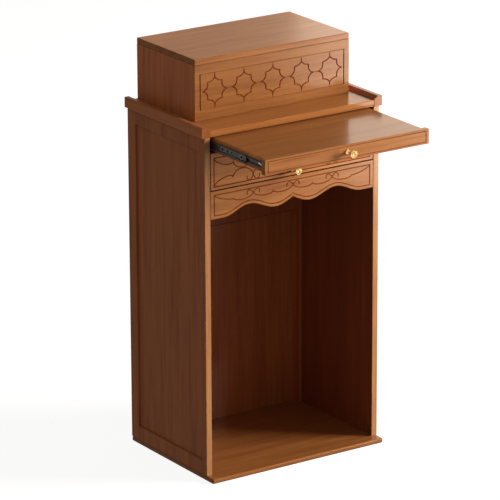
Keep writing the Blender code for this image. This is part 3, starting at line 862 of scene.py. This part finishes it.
def ball_tree():
    """Rows of steel balls: each point of the given mesh starts a row along Y."""
    sizes = (("Balls", "Int"), ("Pitch", "Float"), ("Ball Radius", "Float"))
    tree, given = begin_tree("rows of balls", "Row Starts", sizes, "Rows")
    offset = add(tree, "ShaderNodeCombineXYZ", {"Y": given["Pitch"]})
    line = add(tree, "GeometryNodeMeshLine", {"Count": given["Balls"], "Offset": offset.outputs[0]})
    rows = add(tree, "GeometryNodeInstanceOnPoints", {
        "Points": given["Row Starts"], "Instance": line.outputs["Mesh"]})
    places = add(tree, "GeometryNodeRealizeInstances", {"Geometry": rows.outputs["Instances"]})
    ball = add(tree, "GeometryNodeMeshIcoSphere", {"Radius": given["Ball Radius"], "Subdivisions": 2})
    return end_tree(tree, given, places.outputs["Geometry"], ball.outputs["Mesh"], "Rows")


def rim_tree():
    """Rolled rims round holes whose axis is X: one on each point of the given mesh."""
    tree, given = begin_tree(
        "rims of holes", "Centres", (("Rim Radius", "Float"), ("Bead", "Float")), "Rims")
    rim = add(tree, "GeometryNodeCurvePrimitiveCircle", {"Radius": given["Rim Radius"], "Resolution": 28})
    bead = add(tree, "GeometryNodeCurvePrimitiveCircle", {"Radius": given["Bead"], "Resolution": 8})
    ring = add(tree, "GeometryNodeCurveToMesh", {
        "Curve": rim.outputs["Curve"], "Profile Curve": bead.outputs["Curve"]})
    upright = add(tree, "GeometryNodeTransform", {
        "Geometry": ring.outputs["Mesh"], "Rotation": (0, pi / 2, 0)})
    return end_tree(tree, given, given["Centres"], upright.outputs["Geometry"], "Rims")


def dome_tree():
    """Low domes whose axis is X, for screw heads and for the black discs of painted shade in the holes."""
    tree, given = begin_tree(
        "low domes", "Centres", (("Head Radius", "Float"), ("Flatness", "Float")), "Heads")
    dome = add(tree, "GeometryNodeMeshUVSphere", {"Segments": 16, "Rings": 8, "Radius": given["Head Radius"]})
    scale = add(tree, "ShaderNodeCombineXYZ", {"X": given["Flatness"], "Y": 1.0, "Z": 1.0})
    low = add(tree, "GeometryNodeTransform", {"Geometry": dome.outputs["Mesh"], "Scale": scale.outputs[0]})
    return end_tree(tree, given, given["Centres"], low.outputs["Geometry"], "Heads")


def from_tree(name, tree, points, values):
    """The tree's result on these points as a plain mesh object."""
    mesh = bpy.data.meshes.new(name)
    mesh.from_pydata(points, [], [])
    thing = bpy.data.objects.new(name, mesh)
    bpy.context.scene.collection.objects.link(thing)
    modifier = thing.modifiers.new(name, "NODES")
    modifier.node_group = tree
    identifiers = {item.name: item.identifier for item in tree.interface.items_tree if item.in_out == "INPUT"}
    for label, value in values.items():
        modifier[identifiers[label]] = value
    return settle(thing)


def slides(kind, middle_body, inner_body):
    for name, way in sides:
        for member, body in (("outer", "cabinet"), ("middle", middle_body), ("inner", inner_body)):
            slide_member(kind, member, name, way, body)


def ball_cages(kind, middle_body):
    """A bright strip with a row of balls along each edge of the middle member's channel."""
    cage_start, cage_end, first_ball = 0.036, 0.116, 0.040
    strip_height, ball_height = 0.0072, 0.0083
    half_strip = Vector((0.0003, 0, 0.0008))
    starts = []
    shape = bmesh.new()
    for name, way in sides:
        low, high, web, opening = member_faces(kind, "middle", name, way)
        centre_z = (low.z + high.z) / 2
        x = web + opening * ball_depth
        for up in (-1, 1):
            starts.append((x, low.y + first_ball, centre_z + up * ball_height))
            strip_z = centre_z + up * strip_height
            add_block(shape, Vector((x, low.y + cage_start, strip_z)) - half_strip,
                      Vector((x, low.y + cage_end, strip_z)) + half_strip)
    strips = rounded(new_object(f"{kind}_ball_cage_strips", shape, [bright_steel]), 0.0002, 2)
    as_piece(smooth_edges(settle(strips)), [], middle_body)
    balls = from_tree(f"{kind}_slide_balls", balls_in_rows, starts, {
        "Balls": 10, "Pitch": 0.008, "Ball Radius": 0.0014, "Finish": bright_steel})
    as_piece(balls, [], middle_body)


def on_slides(kind, member, depth, places):
    """Points at mid height in both slides, so deep from the web's outer skin and at places measured
    from the member's front end."""
    points = []
    for name, way in sides:
        low, high, web, opening = member_faces(kind, member, name, way)
        points += [(web + opening * depth, low.y + place, (low.z + high.z) / 2) for place in places]
    return points


def slide_fittings(kind, middle_body, inner_body):
    """Latches in the inner members' mouths, rims and black discs of painted shade at the middle ones' holes,
    screw heads in the other two."""
    for name, way in sides:
        latch(kind, name, way, inner_body)
    in_holes = (on_slides(kind, "middle", hole_shade_depth, middle_holes)
                + on_slides(kind, "middle", hole_shade_depth, latch_hole))
    fittings = (
        ("small_hole_rims", rims_of_holes, on_slides(kind, "middle", rim_depth, middle_holes),
         middle_body, {"Rim Radius": 0.0049, "Bead": 0.0006, "Finish": bright_steel}),
        ("latch_hole_rims", rims_of_holes, on_slides(kind, "middle", rim_depth, latch_hole),
         middle_body, {"Rim Radius": 0.0060, "Bead": 0.0011, "Finish": bright_steel}),
        # Black discs in the middle members' holes are painted shade
        ("hole_plugs", low_domes, in_holes,
         middle_body, {"Head Radius": middle_hole_radius, "Flatness": 0.1, "Finish": hole_painted_shade}),
        ("outer_screw_heads", low_domes, on_slides(kind, "outer", head_depth, outer_screws),
         "cabinet", {"Head Radius": 0.0032, "Flatness": 0.32, "Finish": bright_steel}),
        ("inner_screw_heads", low_domes, on_slides(kind, "inner", head_depth, inner_screws),
         inner_body, {"Head Radius": 0.0032, "Flatness": 0.32, "Finish": bright_steel}))
    for label, tree, points, body, values in fittings:
        as_piece(from_tree(f"{kind}_{label}", tree, points, values), [], body)


def latch(kind, name, way, body):
    """A bright spring strip in the inner member's mouth and a black release lever under it."""
    low, high, web, opening = member_faces(kind, "inner", name, way)
    front_y, centre_z = low.y, (low.z + high.z) / 2
    near, far = sorted(web + opening * depth for depth in latch_depths)
    spring_path = [
        (front_y + 0.005, centre_z - 0.0010), (front_y + 0.011, centre_z + 0.0010),
        (front_y + 0.018, centre_z + 0.0030), (front_y + 0.024, centre_z + 0.0036)]
    lever_path = [
        (front_y + 0.030, centre_z - 0.0045), (front_y + 0.017, centre_z - 0.0060),
        (front_y + 0.009, centre_z - 0.0115), (front_y + 0.004, centre_z - 0.0150)]
    for label, path, thickness, material in (
            ("spring", spring_path, 0.0042, bright_steel), ("lever", lever_path, 0.0026, black_plastic)):
        shape = bmesh.new()
        add_prism(shape, ribbon(path, thickness, 0.0035), near, far, sideways)
        thing = rounded(new_object(f"{kind}_latch_{label}_{name}", shape, [material]), 0.0003, 2, 50)
        as_piece(smooth_edges(settle(thing)), [], body)


def tray():
    """The pull-out board on two rails, with a grooved fascia and a knob."""
    # The board's edges are painted much lighter than its top, as painted light
    tone_faces(board("tray_board", wood_long, "tray", easing=0.0012, tone=1.7), (0, 0, 1), 0.83)
    board("tray_rail_left", wood_deep, "tray")
    board("tray_rail_right", wood_deep, "tray")
    low, high = boxes("tray_fascia")
    shape = bmesh.new()
    add_block(shape, low, high)
    fascia = rounded(new_object("tray_fascia_carved", shape, [wood_long]), 0.0016)
    settle(fascia)
    margin = 0.006
    lines = frame_lines(-frame_half, frame_half, low.z + margin, high.z - margin)
    carve(fascia, lines, low.y, wood_groove_stain_and_shade, 0.0013)
    as_piece(smooth_edges(fascia), ["tray_fascia"], "tray", tone=0.96)
    knob("tray_knob", "tray")


def drawer():
    """A plain drawer box behind a carved front, with a knob."""
    low, high = boxes("drawer_front")
    shape = bmesh.new()
    add_block(shape, low, high)
    face = rounded(new_object("drawer_front_carved", shape, [wood_long]), 0.0009)
    settle(face)
    frame_low, frame_high = low.z + 0.0095, high.z - 0.0145
    lines = frame_lines(-frame_half, frame_half, frame_low, frame_high)
    for corner_z, up in ((frame_low, -1), (frame_high, 1)):
        lines += scroll_lines(corner_z, corner_z - up * 0.014, up, 0.0247, 0.004, 0.004)
    carve(face, lines, low.y, wood_glaze_and_shade, 0.0017)
    as_piece(smooth_edges(face), ["drawer_front"], "drawer", tone=1.10)
    # Its ends are painted dark, as painted shade in the gaps beside it
    for way in (1, -1):
        tone_faces(face, (way, 0, 0), 0.3)
    board("drawer_bottom", wood_long, "drawer", easing=0.0008)
    board("drawer_back", wood_long, "drawer")
    board("drawer_side_left", wood_deep, "drawer")
    board("drawer_side_right", wood_deep, "drawer")
    knob("drawer_knob", "drawer")


# Studio

def photo_camera():
    """The camera fitted to the cabinet's corners, for a square picture."""
    place = Vector((-5.8458, -8.6873, 3.9708))
    yaw, pitch, roll = radians(33.879), radians(17.895), radians(-0.222)
    ahead = Vector((sin(yaw) * cos(pitch), cos(yaw) * cos(pitch), -sin(pitch)))
    right = Vector((cos(yaw), -sin(yaw), 0))
    up = right.cross(ahead)
    across = cos(roll) * right + sin(roll) * up
    upright = -sin(roll) * right + cos(roll) * up
    data = bpy.data.cameras.new("photo camera")
    data.sensor_width = 36
    data.lens = 272.465
    data.clip_end = 200
    camera = bpy.data.objects.new("photo camera", data)
    bpy.context.scene.collection.objects.link(camera)
    turned_so = Matrix((across, upright, -ahead)).transposed().to_4x4()
    camera.matrix_world = Matrix.Translation(place) @ turned_so
    bpy.context.scene.camera = camera


def soft_light(name, place, target, size, watts, colour):
    data = bpy.data.lights.new(name, "AREA")
    data.shape = "RECTANGLE"
    data.size, data.size_y = size
    data.energy = watts
    data.color = linear(colour)[:3]
    lamp = bpy.data.objects.new(name, data)
    bpy.context.scene.collection.objects.link(lamp)
    lamp.location = place
    lamp.rotation_euler = (Vector(target) - Vector(place)).to_track_quat("-Z", "Y").to_euler()
    return lamp


def pale_floor():
    """A floor that fills the picture with white. The cabinet neither mirrors it nor takes light from it."""
    shape = bmesh.new()
    bmesh.ops.create_grid(shape, x_segments=1, y_segments=1, size=60)
    finish, _, shader = new_finish(
        "pale studio floor", Roughness=1.0, Specular_IOR_Level=0.0, Emission_Strength=0.90)
    shader.inputs["Base Color"].default_value = linear("7C7C7C")
    shader.inputs["Emission Color"].default_value = linear("FFFFFF")
    floor = new_object("studio_floor", shape, [finish])
    floor.location.z = -0.0005
    floor.visible_glossy = False
    floor.visible_diffuse = False


def surroundings():
    """A soft even light from all round, nearly black where it is mirrored and white where it is seen."""
    world = bpy.data.worlds.new("studio")
    bpy.context.scene.world = world
    world.use_nodes = True
    tree = world.node_tree
    tree.nodes.clear()
    seen = add(tree, "ShaderNodeLightPath")
    lit = add(tree, "ShaderNodeBackground", {"Color": linear("FFF8F2"), "Strength": 0.243})
    mirrored = add(tree, "ShaderNodeBackground", {"Color": linear("FFFDFA"), "Strength": 0.06})
    shown = add(tree, "ShaderNodeBackground", {"Color": linear("FFFFFF"), "Strength": 1.0})
    light = add(tree, "ShaderNodeMixShader", {
        0: seen.outputs["Is Glossy Ray"], 1: lit.outputs[0], 2: mirrored.outputs[0]})
    mixed = add(tree, "ShaderNodeMixShader", {
        0: seen.outputs["Is Camera Ray"], 1: light.outputs[0], 2: shown.outputs[0]})
    add(tree, "ShaderNodeOutputWorld", {"Surface": mixed.outputs[0]})


def lamps_and_cards():
    """A key from the far right and a weak fill from the left, neither of them mirrored, and three
    cards that show only as reflections."""
    key = soft_light("key", (6.45, -4.0, 2.45), (0, -0.1, 0.8), (3.3, 3.3), 1320, "FFFAF4")
    fill = soft_light(
        "high fill from the left", (-3.0, -0.6, 3.2), (-0.3, 0, 0.8), (1.6, 1.6), 6, "FFFAF4")
    for lamp in (key, fill):
        lamp.visible_glossy = False
    cards = (
        ("card behind", (2.95, 2.4, 1.9), (0.1, -0.1, 1.1), (1.9, 2.4), 21, "FFE6CE"),
        ("wide card behind", (3.6, 3.9, 2.2), (0, 0, 1.1), (4.6, 2.6), 13, "FFE8D2"),
        ("card before", (1.85, -1.6, 0.7), (0.2, -0.15, 1.0), (1.1, 1.1), 27, "FFEBD8"))
    for card in cards:
        soft_light(*card).visible_diffuse = False


def cards_for_metal():
    """Cards that only the brass or only the slides take light from, so that neither falls dark."""
    scene = bpy.context.scene
    polished, rolled = bpy.data.collections.new("brass"), bpy.data.collections.new("slides")
    for group in (polished, rolled):
        scene.collection.children.link(group)
    for thing in list(scene.collection.objects):
        if thing.name.endswith("knob_turned"):
            polished.objects.link(thing)
        elif "slide_" in thing.name or "_hole_rims" in thing.name or "_latch_" in thing.name:
            rolled.objects.link(thing)
    for name, place, size, watts, group in (
            ("low card for the brass", (1.2, -2.4, 0.35), (2.6, 2.0), 16, polished),
            ("left card for the brass", (-2.4, -1.8, 1.5), (2.6, 2.4), 32, polished),
            ("back card for the brass", (-1.6, 1.4, 2.4), (2.4, 2.0), 28, polished),
            ("high card for the brass", (0.0, -0.5, 2.6), (2.0, 2.8), 26, polished),
            ("floor card for the brass", (-1.0, -0.35, 0.12), (1.6, 1.6), 12, polished),
            ("left card for the slides", (-3.2, -1.8, 1.5), (1.6, 1.2), 3, rolled),
            ("back card for the slides", (-1.9, 1.7, 0.35), (1.6, 1.4), 4, rolled)):
        card = soft_light(name, place, (0, -0.4, 0.95), size, watts, "FFF0E4")
        card.light_linking.receiver_collection = group


# The cabinet's own finishes

warm = ("93582E", "A76936", "B5763E")
wood_long = lacquered_wood("stained rubberwood, grain along X", "X", warm)
wood_deep = lacquered_wood("stained rubberwood, grain along Y", "Y", ("96542E", "AA6437", "B87140"))
wood_upright = lacquered_wood("stained rubberwood, grain along Z", "Z", ("925029", "A65F33", "B26A39"))
# A slightly darker copy of the upright wood for the back panels and battens, as painted shade inside the
# cabinet
wood_back_painted_shade = lacquered_wood("stained rubberwood, inner back", "Z", ("925028", "A25A2E", "AE6636"))
# A darker copy of the wood for the inner sides, as painted shade, and a lighter one for the front edges, as
# painted light
wood_inside_painted_shade = lacquered_wood("stained rubberwood, inner sides", "Z", ("6C3A20", "784024", "844A2A"))
wood_edge_painted_light = lacquered_wood("stained rubberwood, front edges", "Z", ("9E6A42", "AC764A", "B68250"))
dull = {"sheen": 0.7, "coat": 0.0, "shine": 0.02}
# The grooves' finishes are darker than the wood: stain that gathers in them, and painted shade
wood_groove_stain_and_shade = lacquered_wood(
    "stain thin in the shallow grooves", "X", ("74401E", "844C26", "945A30"), **dull)
wood_glaze_and_shade = lacquered_wood("stain settled in the carving", "X", ("703014", "803C1A", "8E4822"), **dull)
slide_steel = coated_steel()
bright_steel = metal("polished bearing steel", "B9BCC0", "DADCDF", 0.08, 0.2, 3.0)
brass = metal("polished lacquered brass", "E2BC78", "F2D8A0", 0.34, 0.42, 9.0)
zinc = metal("dull zinc plate", "A8A298", "C6C0B4", 0.3, 0.5, 2.0)
black_plastic = dull_black("moulded black polypropylene", "141415", "26272A", 0.6, 0.45, 0.5)
hole_painted_shade = dull_black("old grease", "040403", "0A0908", 1.5, 0.9, 0.02)
balls_in_rows, rims_of_holes, low_domes = ball_tree(), rim_tree(), dome_tree()

# The cabinet and its studio

photo_camera()
carcass()
top_board()
for name, way in sides:
    top_curb(name, way)
raised_box()
apron()
screw_caps()
for kind, made in (("tray", tray), ("drawer", drawer)):
    made()
    slides(kind, f"{kind}_middle_members", kind)
    ball_cages(kind, f"{kind}_middle_members")
    slide_fittings(kind, f"{kind}_middle_members", kind)
bpy.context.scene.view_settings.view_transform = "Standard"
pale_floor()
surroundings()
lamps_and_cards()
cards_for_metal()
